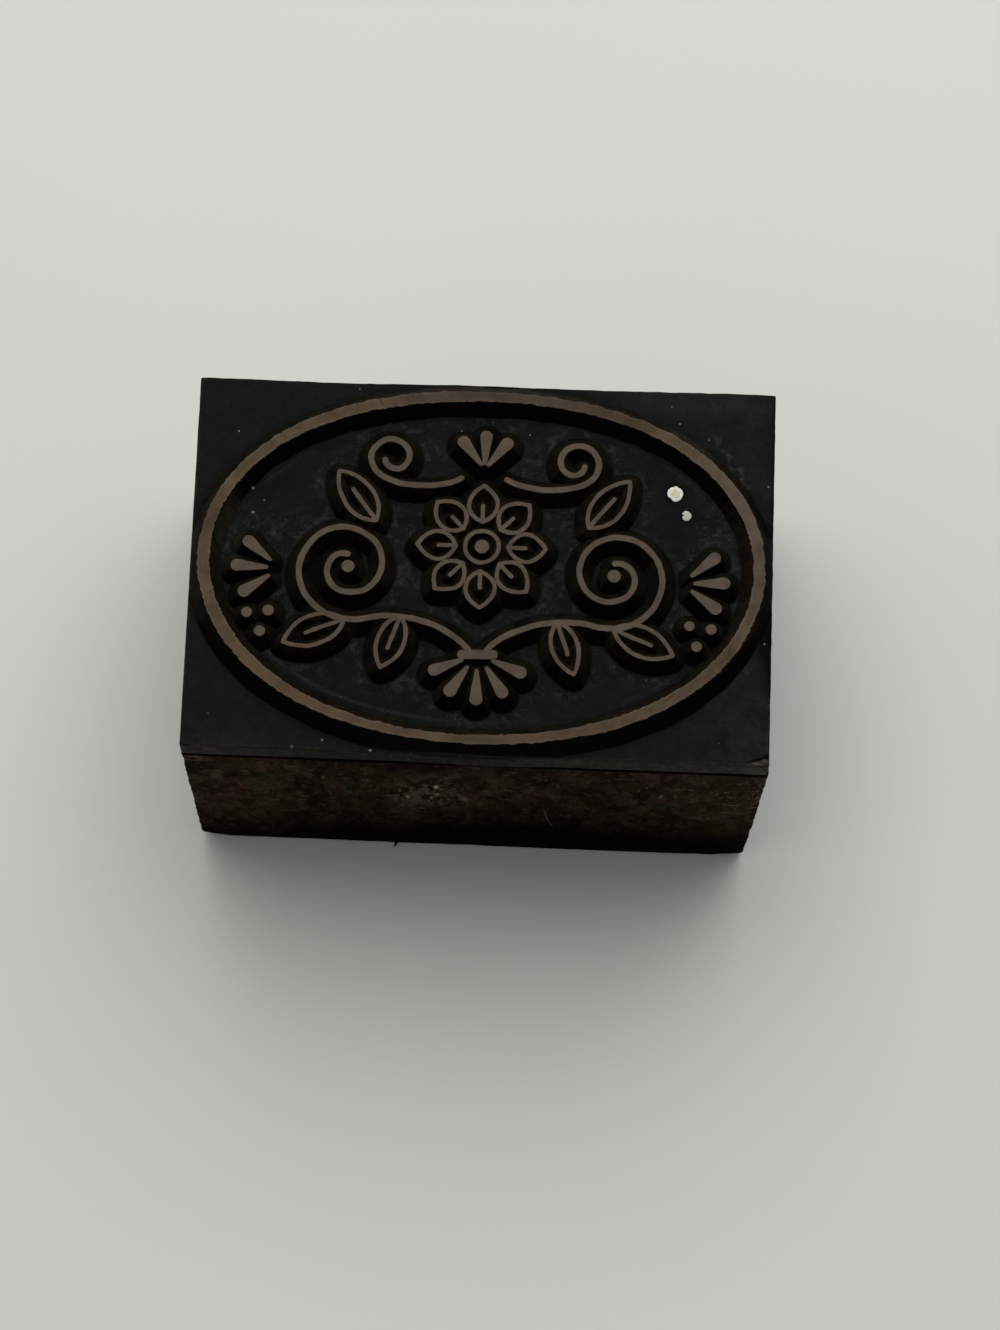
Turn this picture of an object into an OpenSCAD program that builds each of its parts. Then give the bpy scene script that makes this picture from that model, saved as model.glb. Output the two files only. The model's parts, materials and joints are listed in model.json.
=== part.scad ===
// Letterpress printing block: an etched metal plate bonded on a wooden mount.
// Millimetres, +Z up. The origin is the middle of the foot, on the surface that the block stands on.
// The front, where the design's foot lies, faces -Y.

/* [Block] */
// Length of the plate, from left to right
block_l = 38; // [34:0.5:60]
// Depth of the plate, from front to back
block_d = 25.4; // [23:0.2:45]
// Height from the foot to the printing face
type_height = 23.32; // [20:0.01:30]

/* [Wooden mount] */
// How far the wood stands back from the plate's edge on each side
wood_setback = 0.1; // [0:0.05:0.5]
// Radius worn on the upright edges of the wood
upright_edge_r = 0.35; // [0.2:0.05:1.5]
// Radius worn along the edges of the wood's foot
foot_edge_r = 0.6; // [0.2:0.05:2]

/* [Mounting film] */
// Thickness of the adhesive film between the wood and the plate
film_t = 0.12; // [0.05:0.01:0.5]
// How far the film stands back from the wood's edge on each side
film_setback = 0.2; // [0.05:0.05:1]

/* [Plate] */
// Thickness of the plate, from its back to the printing face
plate_t = 3.05; // [2:0.05:6.4]
// Depth of the etch, from the printing face to the floor
etch_depth = 1.05; // [0.4:0.05:1.6]
// How far a shoulder spreads from the edge of a line to the floor
shoulder_run = 0.75; // [0.2:0.05:1]

/* [Oval rule] */
// Width of the rule on the printing face
rule_w = 0.75; // [0.4:0.05:2]
// Distance from the plate's edge to the rule at its nearest
rule_margin = 0.5; // [0.2:0.05:3]

/* [Ornament] */
// Width of the fine lines on the printing face
fine_w = 0.28; // [0.16:0.02:0.5]
// Width of the stems and scrolls
stem_w = 0.4; // [0.2:0.02:0.8]
// Width of a drop or berry at its widest
drop_w = 0.84; // [0.4:0.02:1.2]
// Length of a drop, from the middle of its round end to its tail
drop_l = 1.9; // [1:0.1:3]
// Length of a leaf
leaf_l = 4.2; // [2.5:0.1:5]
// Number of petals on the rosette
petals = 8; // [5:1:9]
// Radius of the rosette, to the tips of its petals
rosette_r = 4.2; // [3.4:0.1:5]
// Radius of the ring at the rosette's heart
heart_r = 1.1; // [0.8:0.05:1.4]
// Widest radius of a scroll
scroll_r = 3.7; // [2.6:0.1:4.4]
// Turns of a scroll
scroll_turns = 1.55; // [1:0.05:2]
// Widest radius of a tendril's curl
curl_r = 1.5; // [1:0.1:2]

/* [Paint spots] */
// Diameter of the large spot of dried paint
large_spot_d = 1.1; // [0.5:0.05:2]
// Diameter of the small spot of dried paint
small_spot_d = 0.74; // [0.4:0.02:1.2]
// Thickness of a paint spot at its middle
spot_t = 0.14; // [0.06:0.02:0.4]

/* [Hidden] */

wood_l = block_l - 2 * wood_setback;
wood_d = block_d - 2 * wood_setback;
wood_h = type_height - plate_t - film_t;
plate_z = wood_h + film_t;
floor_z = type_height - etch_depth;

// Half axes of the oval, measured to the outer and to the inner edge of the rule
rule_out = [block_l / 2 - rule_margin, block_d / 2 - rule_margin];
rule_in = rule_out - [rule_w, rule_w];

// Each line runs a little way into the plate's floor, so that the two are one piece of metal
root = 0.2;
root_run = shoulder_run * root / etch_depth;
nib_fn = 12;
oval_fn = 96;

// The motifs are placed from the rosette, and the sprays and the paint spots from the oval's end
crown_gap = 1.2;
tie_gap = 3.2;
tie_half = 1;
rosette_at = [0, 1.2];
crown_at = rosette_at + [0, rosette_r + crown_gap];
tie_at = rosette_at - [0, rosette_r + tie_gap];
scroll_eye = [rosette_r + (rule_in.x - rosette_r) * 0.33, rosette_at.y - 1.7];
scroll_start = -110;
scroll_eye_r = 0.85;
curl_eye = crown_at + [6, 0.6];
spray_at = [rule_in.x - 4.7, -0.8];
berries_at = spray_at + [0.6, -2.9];
large_spot_at = [rule_in.x - 5.15, 5.7];
small_spot_at = [rule_in.x - 4.4, 4.2];

// A step of a given length in a given direction
function polar(r, a) = r * [cos(a), sin(a)];

// Points of a cubic curve through four handles, in n steps
function curve(p, n) = [
    for (i = [0:n])
        let (t = i / n, u = 1 - t)
            u * u * u * p[0] + 3 * u * u * t * p[1] + 3 * u * t * t * p[2] + t * t * t * p[3]
];

// Points of a spiral about c, whose radius goes from r0 to r1 over the turns
function spiral(c, r0, r1, start, turns, n) = [
    for (i = [0:n])
        let (t = i / n, r = r0 + (r1 - r0) * t, a = start + 360 * turns * t)
            c + polar(r, a)
];

// A point at a distance along and across the direction from one point to another
function beside(from, to, along, across) =
    let (d = to - from)
        from + d * along + [-d.y, d.x] * across;

// One side of a leaf from its base to its tip; bulge is its share of the leaf's length
function leaf_side(base, tip, bulge, n) =
    curve([base, beside(base, tip, 0.2, bulge), beside(base, tip, 0.7, bulge), tip], n);

// The mark that a round point of the given width leaves after etching: a flat top on sloping shoulders
module nib(at, width) {
    translate([at.x, at.y, floor_z - root])
        cylinder(
            h = etch_depth + root,
            r1 = width / 2 + shoulder_run + root_run,
            r2 = width / 2,
            $fn = nib_fn
        );
}

// A line along points
module line(points, width) {
    for (i = [1:len(points) - 1])
        hull() {
            nib(points[i - 1], width);
            nib(points[i], width);
        }
}

// A solid drop whose tail starts at a point
module drop(at, angle) {
    hull() {
        nib(at + polar(drop_l, angle), drop_w);
        nib(at, fine_w);
    }
}

// Drops spread like a fan about a point
module fan(at, facing, count, step, inner) {
    for (i = [0:count - 1]) {
        angle = facing + (i - (count - 1) / 2) * step;
        drop(at + polar(inner, angle), angle);
    }
}

// A leaf drawn as an outline with its midrib
module leaf(at, angle, length = leaf_l, bulge = 0.31, midrib = 0.62) {
    tip = at + polar(length, angle);
    line(leaf_side(at, tip, bulge, 6), fine_w);
    line(leaf_side(at, tip, -bulge, 6), fine_w);
    line([at, beside(at, tip, midrib, 0)], fine_w);
}

// Both halves of a part of the design that is alike to the left and to the right
module both_sides() {
    children();
    mirror([1, 0, 0]) children();
}

// A solid oval whose side slopes evenly from one pair of half axes to another
module sloped_oval(low, high, h) {
    skin = 0.001;
    hull() {
        linear_extrude(height = skin) scale(low) circle(r = 1, $fn = oval_fn);
        translate([0, 0, h - skin])
            linear_extrude(height = skin) scale(high) circle(r = 1, $fn = oval_fn);
    }
}

// The oval rule with its outer and inner shoulders
module oval_rule() {
    spread = [shoulder_run + root_run, shoulder_run + root_run];
    high = etch_depth + root;
    clear = 0.01;
    // The cutter runs past both ends of the rule, at the slope of the shoulder
    past = spread * clear / high;
    translate([0, 0, floor_z - root])
        difference() {
            sloped_oval(rule_out + spread, rule_out, high);
            translate([0, 0, -clear])
                sloped_oval(rule_in - spread - past, rule_in + past, high + 2 * clear);
        }
}

// The rosette: petals round a ring with a solid heart
module rosette() {
    petal_in = heart_r + 0.6;
    petal_l = rosette_r - petal_in;
    // A petal fills four fifths of its share of the circle
    petal_half = 0.8 * (petal_in + petal_l * 0.6) * sin(180 / petals);
    translate(rosette_at) {
        nib([0, 0], heart_r * 0.85);
        line(spiral([0, 0], heart_r, heart_r, 0, 1, 14), fine_w);
        for (i = [0:petals - 1]) {
            angle = 90 + 360 * i / petals;
            leaf(
                at = polar(petal_in, angle),
                angle = angle,
                length = petal_l,
                bulge = petal_half / petal_l * 1.3,
                midrib = 0.45
            );
        }
    }
}

// One side's stem and scroll, with the leaves that grow from them
module scroll_half() {
    start = scroll_eye + polar(scroll_r, scroll_start);
    // The scroll winds inwards, so it sets off a little inside the square of its radius
    inwards = atan((scroll_r - scroll_eye_r) / (scroll_r * 2 * PI * scroll_turns));
    heading = scroll_start + 90 + inwards;
    leave = tie_at + [tie_half * 0.4, 0];
    stem = curve([leave, leave + [1, 1.8], start - polar(2.6, heading), start], 7);
    scroll = spiral(scroll_eye, scroll_r, scroll_eye_r, scroll_start, scroll_turns, 26);
    line(stem, stem_w);
    line(scroll, stem_w);
    nib(scroll_eye, drop_w);
    leaf(scroll[1], -24);
    leaf(stem[5], -72, leaf_l * 0.88);
    leaf(scroll_eye + polar(scroll_r, 118), 52);
}

// One side's spray and berries at the end of the oval
module spray_half() {
    fan(spray_at, facing = 2, count = 3, step = 38, inner = 0.9);
    for (berry = [[0, 0], [1.4, -0.2], [0.5, -1.4]]) nib(berries_at + berry, drop_w * 0.85);
}

// One side's tendril, from the crown to its curl
module tendril_half() {
    leave = crown_at + [1.5, -0.7];
    start = curl_eye + [curl_r, 0];
    line(curve([leave, leave + [1.4, -1], start - [0, curl_r * 1.5], start], 7), stem_w);
    line(spiral(curl_eye, curl_r, curl_r * 0.4, 0, 0.95, 14), stem_w);
}

// The crown over the rosette, and the tie and fan under it
module crown_and_fan() {
    fan(crown_at, facing = 90, count = 3, step = 38, inner = 0.4);
    fan(tie_at, facing = -90, count = 5, step = 34, inner = 1.1);
    line([tie_at - [tie_half, 0], tie_at + [tie_half, 0]], drop_w * 0.75);
}

// The etched plate: a floor with the raised design, trimmed to the block
module etched_plate() {
    color("dimgray")
        intersection() {
            translate([-block_l / 2, -block_d / 2, plate_z]) cube([block_l, block_d, plate_t]);
            union() {
                translate([-block_l, -block_d, plate_z])
                    cube([2 * block_l, 2 * block_d, plate_t - etch_depth]);
                oval_rule();
                rosette();
                crown_and_fan();
                both_sides() {
                    scroll_half();
                    spray_half();
                    tendril_half();
                }
            }
        }
}

// An outline that stands on the X axis, with its two lower corners rounded
module worn_side(width, h, r) {
    translate([-width / 2, r]) square([width, h - r]);
    translate([-width / 2 + r, 0]) square([width - 2 * r, h]);
    for (x = [-width / 2 + r, width / 2 - r]) translate([x, r]) circle(r = r, $fn = 48);
}

// A rectangle with rounded corners about the origin
module worn_plan(l, d, r) {
    square([l, d - 2 * r], center = true);
    square([l - 2 * r, d], center = true);
    for (x = [-1, 1])
        for (y = [-1, 1])
            translate([x * (l / 2 - r), y * (d / 2 - r)]) circle(r = r, $fn = 48);
}

// The wooden mount, with worn upright edges and a worn foot
module wood_block() {
    color("saddlebrown")
        intersection() {
            linear_extrude(height = wood_h) worn_plan(wood_l, wood_d, upright_edge_r);
            rotate([90, 0, 0])
                translate([0, 0, -block_d])
                    linear_extrude(height = 2 * block_d) worn_side(wood_l, wood_h, foot_edge_r);
            rotate([90, 0, 90])
                translate([0, 0, -block_l])
                    linear_extrude(height = 2 * block_l) worn_side(wood_d, wood_h, foot_edge_r);
        }
}

// The adhesive film that bonds the plate to the wood
module mounting_film() {
    film_l = wood_l - 2 * film_setback;
    film_d = wood_d - 2 * film_setback;
    color("black") translate([-film_l / 2, -film_d / 2, wood_h]) cube([film_l, film_d, film_t]);
}

// One low spot of dried paint, on the plate's floor: steep at the rim and flat on its crown
module paint_spot(at, d) {
    rim_h = spot_t / 3;
    crown_d = d * 0.6;
    translate([at.x, at.y, floor_z])
        hull() {
            cylinder(h = rim_h, d = d, $fn = 24);
            cylinder(h = spot_t, d = crown_d, $fn = 24);
        }
}

module paint_spots() {
    color("ivory") {
        paint_spot(large_spot_at, large_spot_d);
        paint_spot(small_spot_at, small_spot_d);
    }
}

wood_block();
mounting_film();
etched_plate();
paint_spots();
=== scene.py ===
"""A letterpress printing block: an etched copper plate, blackened by ink, bonded on a worn wooden mount.

Lengths in the code are millimetres, and a mesh is turned into metres once, when its piece is finished.
The design on the plate repeats the formulas and sizes of the part's source.
"""

import json
import math

import bmesh
import bpy
from mathutils import Matrix, Vector, kdtree, noise

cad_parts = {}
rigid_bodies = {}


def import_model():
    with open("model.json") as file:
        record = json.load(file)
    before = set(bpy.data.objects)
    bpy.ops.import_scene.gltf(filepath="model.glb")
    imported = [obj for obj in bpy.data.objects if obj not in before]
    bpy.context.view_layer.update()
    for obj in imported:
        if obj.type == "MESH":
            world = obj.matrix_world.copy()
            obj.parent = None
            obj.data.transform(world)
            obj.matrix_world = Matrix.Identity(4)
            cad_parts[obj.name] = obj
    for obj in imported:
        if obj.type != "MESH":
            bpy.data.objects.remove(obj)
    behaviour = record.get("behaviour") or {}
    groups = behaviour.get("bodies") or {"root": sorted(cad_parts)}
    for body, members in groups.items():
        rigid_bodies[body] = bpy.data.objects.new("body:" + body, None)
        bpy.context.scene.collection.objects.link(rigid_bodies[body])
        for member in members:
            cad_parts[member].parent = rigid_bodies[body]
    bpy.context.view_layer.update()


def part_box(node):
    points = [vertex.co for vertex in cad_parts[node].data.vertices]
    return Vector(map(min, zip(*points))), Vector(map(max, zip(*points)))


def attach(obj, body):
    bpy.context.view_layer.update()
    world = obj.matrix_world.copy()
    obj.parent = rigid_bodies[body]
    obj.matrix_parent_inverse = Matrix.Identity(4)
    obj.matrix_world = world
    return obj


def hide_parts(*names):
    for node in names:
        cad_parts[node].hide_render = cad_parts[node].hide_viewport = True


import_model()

MM = 0.001

# Sizes, from the frame and the source


def node_box(node):
    """A node's lowest and highest corners, in millimetres."""
    low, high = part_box(node)
    return Vector(low) / MM, Vector(high) / MM


PLATE_LOW, PLATE_HIGH = node_box("etched_plate")
WOOD_LOW, WOOD_HIGH = node_box("wood_block")
FILM_LOW, FILM_HIGH = node_box("mounting_film")
SPOTS_LOW, SPOTS_HIGH = node_box("paint_spots")

BLOCK_L = PLATE_HIGH.x - PLATE_LOW.x
BLOCK_D = PLATE_HIGH.y - PLATE_LOW.y
FACE_Z = PLATE_HIGH.z
PLATE_Z = PLATE_LOW.z
ETCH_DEPTH = 1.05
FLOOR_Z = FACE_Z - ETCH_DEPTH
SHOULDER_RUN = 0.75
RULE_W = 0.75
RULE_MARGIN = 0.5
FINE_W = 0.28
STEM_W = 0.4
DROP_W = 0.84
DROP_L = 1.9
LEAF_L = 4.2
PETALS = 8
ROSETTE_R = 4.2
HEART_R = 1.1
SCROLL_R = 3.7
SCROLL_TURNS = 1.55
CURL_R = 1.5
FOOT_EDGE_R = 0.6

RULE_OUT = Vector((BLOCK_L / 2 - RULE_MARGIN, BLOCK_D / 2 - RULE_MARGIN))
RULE_IN = RULE_OUT - Vector((RULE_W, RULE_W))

ROSETTE_AT = Vector((0, 1.2))
CROWN_AT = ROSETTE_AT + Vector((0, ROSETTE_R + 1.2))
TIE_AT = ROSETTE_AT - Vector((0, ROSETTE_R + 3.2))
TIE_HALF = 1.0
SCROLL_EYE = Vector((ROSETTE_R + (RULE_IN.x - ROSETTE_R) * 0.33, ROSETTE_AT.y - 1.7))
SCROLL_START = -110
SCROLL_EYE_R = 0.85
CURL_EYE = CROWN_AT + Vector((6, 0.6))
SPRAY_AT = Vector((RULE_IN.x - 4.7, -0.8))
BERRIES_AT = SPRAY_AT + Vector((0.6, -2.9))

# How far the sawn sides stand beyond the true rectangle: a mean, and what it gains from one end to the other
PLATE_RIGHT = (0.10, 0.08)
PLATE_LEFT = (0.03, 0.12)
PLATE_BACK = (0.17, 0.30)
PLATE_FRONT_FULL = 0.12
WOOD_RIGHT = (0.21, 0.19)
WOOD_LEFT = (0.04, 0.13)
WOOD_FRONT_AT_FOOT = (0.24, 0.10)
WOOD_FRONT_AT_TOP = 0.12
WOOD_EDGE_R = 0.2

# A small crack across the front right corner, and dents in the floor: place, size, turn and depth
CRACK_FROM = Vector((17.45, -12.45))
CRACK_TO = Vector((19.0, -12.0))
FLOOR_DENTS = (
    ((-9.35, -2.54), (0.22, 0.1), 10, 0.09),
    ((-1.37, 9.65), (0.35, 0.07), 5, 0.05),
    ((-1.62, 9.8), (0.07, 0.3), 0, 0.05),
    ((9.6, -10.1), (0.12, 0.3), 30, 0.04),
)
# Dull places on the rule's copper: middle, half sizes and how much darker
DULL_COPPER = (
    (2.5, 11.5, 11.0, 2.2, 0.32), (9.0, 10.3, 3.0, 2.0, 0.32), (-9.3, 10.1, 2.5, 1.6, 0.16),
    (0, -11.8, 2.8, 1.6, 0.24), (15.7, -5.9, 1.7, 2.6, 0.24), (-17.6, 3.2, 1.6, 2.4, 0.24),
    (-18.0, 0.3, 1.6, 3.0, 0.15), (18.1, 0.3, 1.5, 3.0, 0.12),
)
# The colour of the narrow strips between the rule and the plate's sawn sides: middle and half sizes
EDGE_TONES = (
    (0.0, 12.8, 5.5, 1.2, (0.0062, 0.0053, 0.0034)), (-19.0, 0.0, 1.2, 4.5, (0.0048, 0.0045, 0.0030)),
    (19.0, -0.5, 1.2, 6.0, (0.0020, 0.0016, 0.0009)),
)
# Scratches across the rule's copper: middle, half length, turn and how dark
COPPER_SCRATCHES = (
    (16.3, -5.29, 0.55, 75, 0.7), (12.49, -8.61, 0.55, 40, 0.7), (-7.0, 11.05, 0.4, 128, 0.6),
    (-5.0, 11.6, 0.35, 120, 0.5), (-8.5, 10.7, 0.25, 110, 0.35), (-12.3, 8.95, 0.3, 5, 0.45),
)
# Where the floor between the lines is rubbed and flecked: middle and half sizes
WORN_ZONES = (
    (-13.2, 2.2, 3.6, 2.4), (-8.2, 1.2, 2.4, 2.2), (13.6, -3.2, 2.6, 3.4), (15.2, 3.2, 1.6, 1.8),
)
# Paler places of the ink on the floor: middle, half sizes and how much
PALE_INK = ((13.5, 12.5, 8.0, 2.0, 0.55), (-15.5, -12.4, 4.5, 1.0, 0.35), (-3.5, -5.5, 5.0, 3.0, 0.12))
# Pale specks on the plate's floor: place, radius and how white each is
SPECKS = (
    (-16.33, 9.0, 0.09, 1.0), (-8.49, 12.31, 0.08, 0.5), (-15.18, 5.04, 0.13, 0.9), (-5.04, 6.22, 0.09, 0.8),
    (-9.78, -12.02, 0.10, 0.8), (-6.66, -12.6, 0.13, 1.0), (-11.7, -12.55, 0.16, 0.25),
    (12.22, 11.87, 0.07, 0.7),
    (12.78, 10.69, 0.08, 0.9), (14.72, 9.63, 0.08, 0.45), (18.7, 6.49, 0.10, 0.6), (-17.21, -10.5, 0.08, 0.2),
    (-14.41, 4.23, 0.08, 0.6), (-15.09, 3.36, 0.14, 0.7), (14.64, 3.45, 0.08, 0.15), (13.78, 0.71, 0.14, 0.7),
    (10.96, -7.15, 0.10, 0.2), (16.88, 6.97, 0.08, 0.2), (18.6, -4.4, 0.10, 0.65), (2.88, 9.5, 0.08, 0.6),
    (-1.62, 9.6, 0.10, 0.6),
)
# Where the front of the wood is darker or lighter: x and z of the middle, half sizes and how much
DIM_WOOD = (
    (-5.0, 20.3, 6.4, 5.5, 0.44), (3.0, 20.3, 6.0, 5.5, 0.25), (-7.2, 8.5, 4.0, 7.0, 0.26),
    (7.2, 12.5, 6.5, 9.5, 0.27),
)
LIT_WOOD = ((17.5, 14.5, 5.5, 5.5, 0.55), (-15.8, 14.0, 3.6, 6.0, 0.22))
# Pale grains on the front of the wood: x and z of the middle, half sizes and how white each is
WOOD_GRAINS = (
    (-2.45, 14.67, 0.22, 0.6, 1.0), (-4.33, 12.18, 0.22, 0.8, 0.45), (-2.73, 11.91, 0.2, 0.6, 0.32),
    (-2.35, 12.96, 0.2, 0.6, 0.30), (-3.0, 13.12, 0.3, 0.6, 0.22), (-4.85, 13.6, 0.15, 0.7, 0.24),
    (-0.59, 12.1, 0.45, 0.7, 0.18), (12.48, 14.32, 0.13, 0.7, 0.20), (-2.13, 11.0, 0.3, 0.7, 0.18),
    (-7.1, 15.7, 0.4, 0.4, 0.13), (11.46, 16.14, 0.14, 0.7, 0.16), (-3.15, 15.05, 0.4, 0.4, 0.16),
    (10.96, 15.58, 0.14, 0.5, 0.13), (-5.21, 11.56, 0.3, 0.7, 0.14), (-9.89, 16.05, 0.2, 0.6, 0.15),
    (-4.7, 9.88, 0.3, 0.7, 0.12), (13.45, 14.6, 0.15, 0.7, 0.13),
    (18.2, 20.5, 0.35, 0.4, 0.15), (17.9, 18.4, 0.25, 0.5, 0.15),
)
# The paint spots: place, diameter, seed, and where and how deep the rim is nicked, in degrees and shares
PAINT = (
    (Vector((12.57, 5.74)), 1.10, 2.0, ((225, 26, 0.17), (62, 9, 0.10))),
    (Vector((13.33, 4.23)), 0.71, 7.0, ((176, 17, 0.55), (215, 20, 0.12))),
)

# How finely the design is drawn: the longest step along a line, and the sides of a round point
LINE_STEP = 0.3
NIB_SIDES = 16
# The soft edge round a printing line, and how far a line runs into the plate's floor
EDGE_R = 0.035
ROOT = 0.3
# How wide the paler rim along each edge of the rule is
RULE_RIM = 0.2


# The light, in metres, watts and degrees

FLOOR_COLOR = (0.693, 0.700, 0.664)
LAMP_DISTANCE = 0.303
LAMP_SIZE = (0.315, 0.283)
LAMP_ELEVATION = 63.6
LAMP_TURN = 9.5
LAMP_POWER = 0.60
SURROUND_LEVEL = 0.457
SURROUND_SLOPE = (-0.56, 0.9, 0)


# Small helpers


def polar(r, degrees):
    a = math.radians(degrees)
    return Vector((r * math.cos(a), r * math.sin(a)))


def curve(p, n):
    """Points of a cubic curve with four handles, in n steps."""
    points = []
    for i in range(n + 1):
        t = i / n
        u = 1 - t
        points.append(u**3 * p[0] + 3 * u * u * t * p[1] + 3 * u * t * t * p[2] + t**3 * p[3])
    return points


def spiral(c, r0, r1, start, turns, n):
    """Points of a spiral about c, whose radius goes from r0 to r1 over the turns."""
    return [c + polar(r0 + (r1 - r0) * i / n, start + 360 * turns * i / n) for i in range(n + 1)]


def beside(base, tip, along, across):
    """A point along and across the way from one point to another, in shares of their distance."""
    d = tip - base
    return base + d * along + Vector((-d.y, d.x)) * across


def rough(x, y, z=0.0, size=1.0, seed=0.0):
    """Smooth noise between about -1 and 1, the same on each run."""
    return noise.noise(Vector((x / size + seed, y / size - seed, z / size + 0.37 * seed)))


def outward(value):
    """1 on the positive side of the middle and -1 on the negative one."""
    return math.copysign(1, value)


def clear_selection():
    if bpy.context.object and bpy.context.object.mode != "OBJECT":
        bpy.ops.object.mode_set(mode="OBJECT")
    bpy.ops.object.select_all(action="DESELECT")


def make_active(piece):
    clear_selection()
    piece.select_set(True)
    bpy.context.view_layer.objects.active = piece


def apply_modifier(piece, kind, **settings):
    make_active(piece)
    modifier = piece.modifiers.new(kind.lower(), kind)
    for name, value in settings.items():
        setattr(modifier, name, value)
    bpy.ops.object.modifier_apply(modifier=modifier.name)


def finish_piece(piece, name, material, smooth_angle=35.0):
    """Turns a finished mesh into metres and puts it in the frame."""
    piece.name = name
    piece.data.name = name
    piece.data.transform(Matrix.Scale(MM, 4))
    piece.data.materials.clear()
    piece.data.materials.append(material)
    make_active(piece)
    bpy.ops.object.shade_smooth_by_angle(angle=math.radians(smooth_angle))
    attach(piece, "root")
    return piece


# Materials


class Nodes:
    """A short way to write a material's nodes."""

    def __init__(self, name):
        self.material = bpy.data.materials.new(name)
        self.material.use_nodes = True
        self.tree = self.material.node_tree
        self.shader = self.tree.nodes["Principled BSDF"]
        self.place = self.new("ShaderNodeTexCoord").outputs["Object"]

    def new(self, kind, **settings):
        node = self.tree.nodes.new(kind)
        for name, value in settings.items():
            setattr(node, name, value)
        return node

    def link(self, value, socket):
        if isinstance(value, bpy.types.NodeSocket):
            self.tree.links.new(value, socket)
        elif isinstance(value, (tuple, list)) and len(value) == 3 and socket.type == "RGBA":
            socket.default_value = (*value, 1.0)
        else:
            socket.default_value = value

    def math(self, operation, a, b=0.0, c=0.0):
        node = self.new("ShaderNodeMath", operation=operation)
        for value, socket in zip((a, b, c), node.inputs):
            self.link(value, socket)
        return node.outputs[0]

    def ramp(self, value, low, high, out_low=0.0, out_high=1.0):
        """A smooth step: out_low below low and out_high above high."""
        node = self.new("ShaderNodeMapRange", interpolation_type="SMOOTHSTEP", clamp=True)
        for v, socket in zip((value, low, high, out_low, out_high), node.inputs):
            self.link(v, socket)
        return node.outputs["Result"]

    def mix(self, share, a, b, blend="MIX"):
        node = self.new("ShaderNodeMix", data_type="RGBA", blend_type=blend)
        self.link(share, node.inputs["Factor"])
        self.link(a, node.inputs[6])
        self.link(b, node.inputs[7])
        return node.outputs[2]

    def stretched(self, x, y, z, turn=0.0, place=None):
        """Object coordinates in millimetres, divided by a size along each axis."""
        node = self.new("ShaderNodeMapping")
        self.link(place or self.place, node.inputs["Vector"])
        node.inputs["Rotation"].default_value = (0, 0, math.radians(turn))
        node.inputs["Scale"].default_value = (1 / (MM * x), 1 / (MM * y), 1 / (MM * z))
        return node.outputs["Vector"]

    def grain(self, size, detail=3.0, roughness=0.55, distortion=0.0, at=None):
        """Noise whose features are about the given size in millimetres."""
        node = self.new("ShaderNodeTexNoise")
        self.link(at or self.stretched(size, size, size), node.inputs["Vector"])
        node.inputs["Scale"].default_value = 1.0
        node.inputs["Detail"].default_value = detail
        node.inputs["Roughness"].default_value = roughness
        node.inputs["Distortion"].default_value = distortion
        return node.outputs["Fac"]

    def specks(self, size, share, at=None):
        """Small dots, one in each cell of the given size; share is a dot's radius in the cell."""
        node = self.new("ShaderNodeTexVoronoi")
        self.link(at or self.stretched(size, size, size), node.inputs["Vector"])
        node.inputs["Scale"].default_value = 1.0
        return self.ramp(node.outputs["Distance"], share * 0.6, share, 1.0, 0.0)

    def axis(self, which):
        node = self.new("ShaderNodeSeparateXYZ")
        self.link(self.place, node.inputs[0])
        return node.outputs[which]

    def patch(self, at, size, turn=0.0, edge=0.6):
        """A soft-edged oval patch, with its middle and half sizes in millimetres."""
        node = self.new("ShaderNodeMapping", vector_type="TEXTURE")
        self.link(self.place, node.inputs["Vector"])
        node.inputs["Location"].default_value = Vector(at) * MM
        node.inputs["Rotation"].default_value = (0, 0, math.radians(turn))
        node.inputs["Scale"].default_value = Vector(size) * MM
        length = self.new("ShaderNodeVectorMath", operation="LENGTH")
        self.link(node.outputs["Vector"], length.inputs[0])
        return self.ramp(length.outputs["Value"], edge, 1.0, 1.0, 0.0)

    def shade(self, color, factor):
        """A colour made darker or lighter by a factor that varies over the surface."""
        return self.mix(1.0, color, factor, "MULTIPLY")

    def both(self, *masks):
        result = masks[0]
        for mask in masks[1:]:
            result = self.math("MULTIPLY", result, mask)
        return result

    def any_of(self, *masks):
        result = masks[0]
        for mask in masks[1:]:
            result = self.math("MAXIMUM", result, mask)
        return result

    def attribute(self, name):
        return self.new("ShaderNodeAttribute", attribute_name=name).outputs["Fac"]

    def bump(self, height, distance_mm, strength=1.0, over=None):
        node = self.new("ShaderNodeBump")
        node.inputs["Strength"].default_value = strength
        node.inputs["Distance"].default_value = distance_mm * MM
        self.link(height, node.inputs["Height"])
        if over:
            self.link(over, node.inputs["Normal"])
        return node.outputs["Normal"]

    def done(self, color, roughness, normal=None, metallic=0.0, specular=0.2):
        self.link(color, self.shader.inputs["Base Color"])
        self.link(roughness, self.shader.inputs["Roughness"])
        self.link(metallic, self.shader.inputs["Metallic"])
        self.shader.inputs["Specular IOR Level"].default_value = specular
        if normal:
            self.link(normal, self.shader.inputs["Normal"])
        return self.material


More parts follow.
